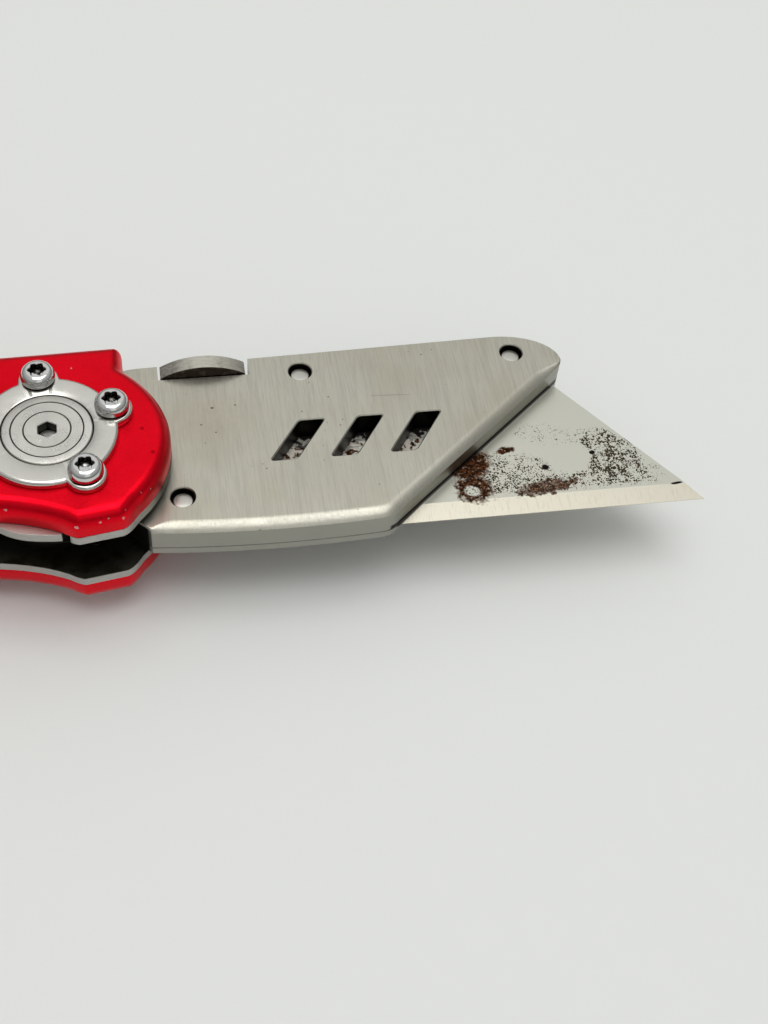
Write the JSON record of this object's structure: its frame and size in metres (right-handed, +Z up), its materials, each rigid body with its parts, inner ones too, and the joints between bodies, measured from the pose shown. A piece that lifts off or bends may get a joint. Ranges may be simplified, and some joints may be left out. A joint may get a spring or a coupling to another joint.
{
  "type": "folding utility knife",
  "caption": "Folding quick-change utility knife lying open: red anodised scales, steel liners with a lock bar, steel blade holder and a rust-spotted trapezoid blade.",
  "frame": {"origin": "bottom centre of the open knife's box, on the surface that it lies on, under its middle", "axes": "+X from the butt to the blade tip, +Y from the cutting edge to the spine, +Z up, away from the side with the pocket clip"},
  "size_m": [0.16, 0.0284, 0.021],
  "materials": {
    "anodised_red": "red anodised, satin, with small chips to bare metal on the edges",
    "liner_steel": "matt stamped steel with bright cut edges",
    "holder_steel": "brushed across its length, with a bright rounded edge",
    "lever_steel": "ground rim, dark grimy faces",
    "polished_steel": "polished stainless steel",
    "dark_steel": "dark grey satin steel",
    "blade_steel": "bright carbon steel with brown rust patches and dark specks",
    "black_nylon": "black nylon"
  },
  "bodies": {
    "handle": {"front_scale": "anodised_red", "rear_scale": "anodised_red", "front_liner": "liner_steel", "rear_liner": "liner_steel", "back_spacer": "dark_steel", "stop_pin": "polished_steel", "front_washer": "black_nylon", "rear_washer": "black_nylon", "pivot_bolt": "polished_steel", "pivot_nut": "polished_steel", "front_bezel": "polished_steel", "rear_bezel": "polished_steel", "front_bezel_screw_1": "polished_steel", "front_bezel_screw_2": "polished_steel", "front_bezel_screw_3": "polished_steel", "front_bezel_screw_4": "polished_steel", "front_butt_screw_1": "polished_steel", "front_butt_screw_2": "polished_steel", "rear_bezel_screw_1": "polished_steel", "rear_bezel_screw_2": "polished_steel", "rear_bezel_screw_3": "polished_steel", "rear_bezel_screw_4": "polished_steel", "rear_butt_screw_1": "polished_steel", "rear_butt_screw_2": "polished_steel", "clip_screw_1": "polished_steel", "clip_screw_2": "polished_steel"},
    "holder": {"holder_body": "holder_steel", "holder_cover": "holder_steel", "rear_holder_pin": "polished_steel", "lever_pin": "polished_steel", "front_holder_pin": "polished_steel", "lever_spring": "polished_steel"},
    "lock_bar": {"lock_bar": "liner_steel", "detent_ball": "polished_steel"},
    "lever": {"release_lever": "lever_steel"},
    "blade": {"blade": "blade_steel"},
    "clip": {"pocket_clip": "dark_steel"}
  },
  "joints": [
    {"name": "holder_fold", "type": "hinge", "parent": "handle", "child": "holder", "pos_m": [0.00483, -0.00143, 0.01095], "axis": [0, 0, 1], "range_deg": [-180, 0]},
    {"name": "lock_bar_flex", "type": "hinge", "parent": "handle", "child": "lock_bar", "pos_m": [-0.03198, -0.00913, 0.0147], "axis": [0, 1, 0], "range_deg": [0, 1.2], "stiffness_Nm_per_rad": 1},
    {"name": "lever_press", "type": "hinge", "parent": "holder", "child": "lever", "pos_m": [0.03433, 0.01047, 0.01015], "axis": [0, 0, 1], "range_deg": [-8, 0], "stiffness_Nm_per_rad": 0.02},
    {"name": "blade_slide", "type": "slide", "parent": "holder", "child": "blade", "axis": [1, 0, 0], "range_m": [0, 0.045]},
    {"name": "clip_flex", "type": "hinge", "parent": "handle", "child": "clip", "pos_m": [-0.07758, -0.00113, 0.00335], "axis": [0, 1, 0], "range_deg": [0, 1.2], "stiffness_Nm_per_rad": 3}
  ]
}
